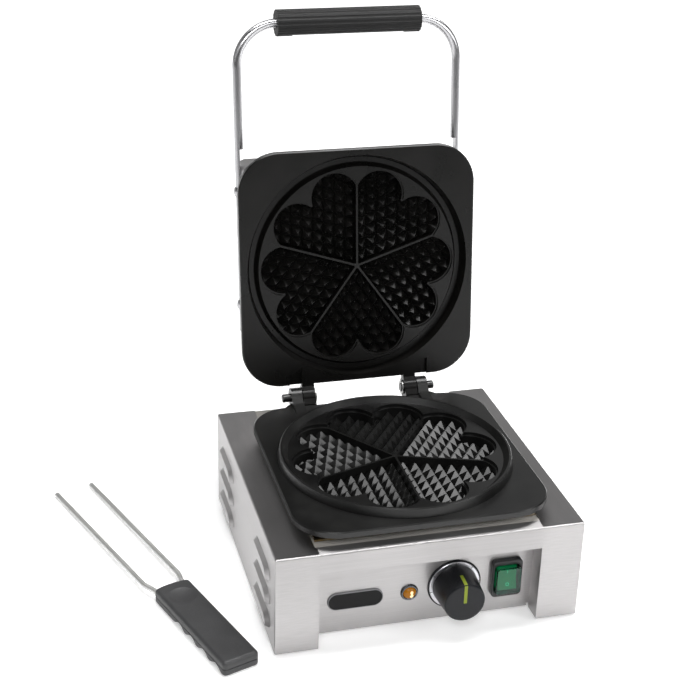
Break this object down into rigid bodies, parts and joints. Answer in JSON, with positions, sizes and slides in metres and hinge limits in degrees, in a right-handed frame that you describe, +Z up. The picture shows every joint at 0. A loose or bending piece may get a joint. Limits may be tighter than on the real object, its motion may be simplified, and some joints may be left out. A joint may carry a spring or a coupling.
{
  "type": "heart waffle maker",
  "caption": "Electric waffle maker with a stainless cabinet, hinged cast plates that bake a flower of hearts, a bail handle, dial, lamp, rocker switch, and a loose two-tined fork.",
  "frame": {"origin": "on the table, at the centre of the cabinet's footprint", "axes": "+Z up, +X to the right seen from the front, -Y towards the user; the hinge axis lies along X behind the plates"},
  "size_m": [0.43, 0.3467, 0.4677],
  "materials": {
    "stainless_brushed": "brushed",
    "cast_nonstick": "satin black non-stick coat",
    "chrome_bar": "polished",
    "zinc_steel": "satin",
    "black_plastic": "matte",
    "gloss_black": "gloss",
    "rubber_black": "matte",
    "satin_ring": "satin",
    "lime_mark": "satin",
    "amber_lens": "clear amber",
    "green_clear": "clear green",
    "green_rocker": "gloss",
    "wool_white": "soft",
    "white_plastic": "matte"
  },
  "bodies": {
    "cabinet": {"side_panel_right": "stainless_brushed", "side_panel_left": "stainless_brushed", "front_rail": "stainless_brushed", "deck_plate": "stainless_brushed", "control_panel": "stainless_brushed", "rear_panel": "stainless_brushed", "rear_screws": "zinc_steel", "base_plate": "stainless_brushed", "rubber_feet": "rubber_black", "foot_screws": "zinc_steel", "heat_shield": "stainless_brushed", "plate_spacers": "zinc_steel", "plate_bolts": "zinc_steel", "lower_plate": "cast_nonstick", "lower_heater": "zinc_steel", "lower_insulation": "wool_white", "hinge_pin_right": "zinc_steel", "hinge_pin_left": "zinc_steel", "hinge_clips": "zinc_steel", "badge_plate": "gloss_black", "lamp_bezel": "gloss_black", "lamp_lens": "amber_lens", "lamp_body": "black_plastic", "dial_skirt": "gloss_black", "dial_ring": "satin_ring", "thermostat_body": "black_plastic", "thermostat_bulb": "zinc_steel", "switch_frame": "black_plastic", "switch_cap": "green_clear", "switch_body": "black_plastic", "terminal_block": "white_plastic", "cable_gland": "black_plastic"},
    "lid": {"upper_plate": "cast_nonstick", "upper_heater": "zinc_steel", "upper_insulation": "wool_white", "lid_cover": "stainless_brushed", "lid_studs": "zinc_steel", "cover_nuts": "zinc_steel", "lid_grommet": "rubber_black", "handle_rod": "chrome_bar", "handle_grip": "black_plastic", "handle_rivets": "zinc_steel"},
    "dial_knob": {"knob": "gloss_black", "knob_pointer": "lime_mark", "thermostat_shaft": "zinc_steel"},
    "rocker": {"switch_rocker": "green_rocker"},
    "fork": {"fork_tines": "chrome_bar", "fork_handle": "black_plastic"}
  },
  "joints": [
    {"name": "lid_hinge", "type": "hinge", "parent": "cabinet", "child": "lid", "pos_m": [0, 0.1122, 0.1133], "axis": [1, 0, 0], "range_deg": [0, 97]},
    {"name": "knob_turn", "type": "hinge", "parent": "cabinet", "child": "dial_knob", "pos_m": [0.0264, -0.112, 0.0371], "axis": [0, 1, 0], "range_deg": [0, 300]},
    {"name": "rocker_tip", "type": "hinge", "parent": "cabinet", "child": "rocker", "pos_m": [0.073, -0.109, 0.0387], "axis": [1, 0, 0], "range_deg": [0, 14]},
    {"name": "fork_lift", "type": "slide", "parent": "cabinet", "child": "fork", "axis": [0, 0, 1], "range_m": [0, 0.2]}
  ]
}
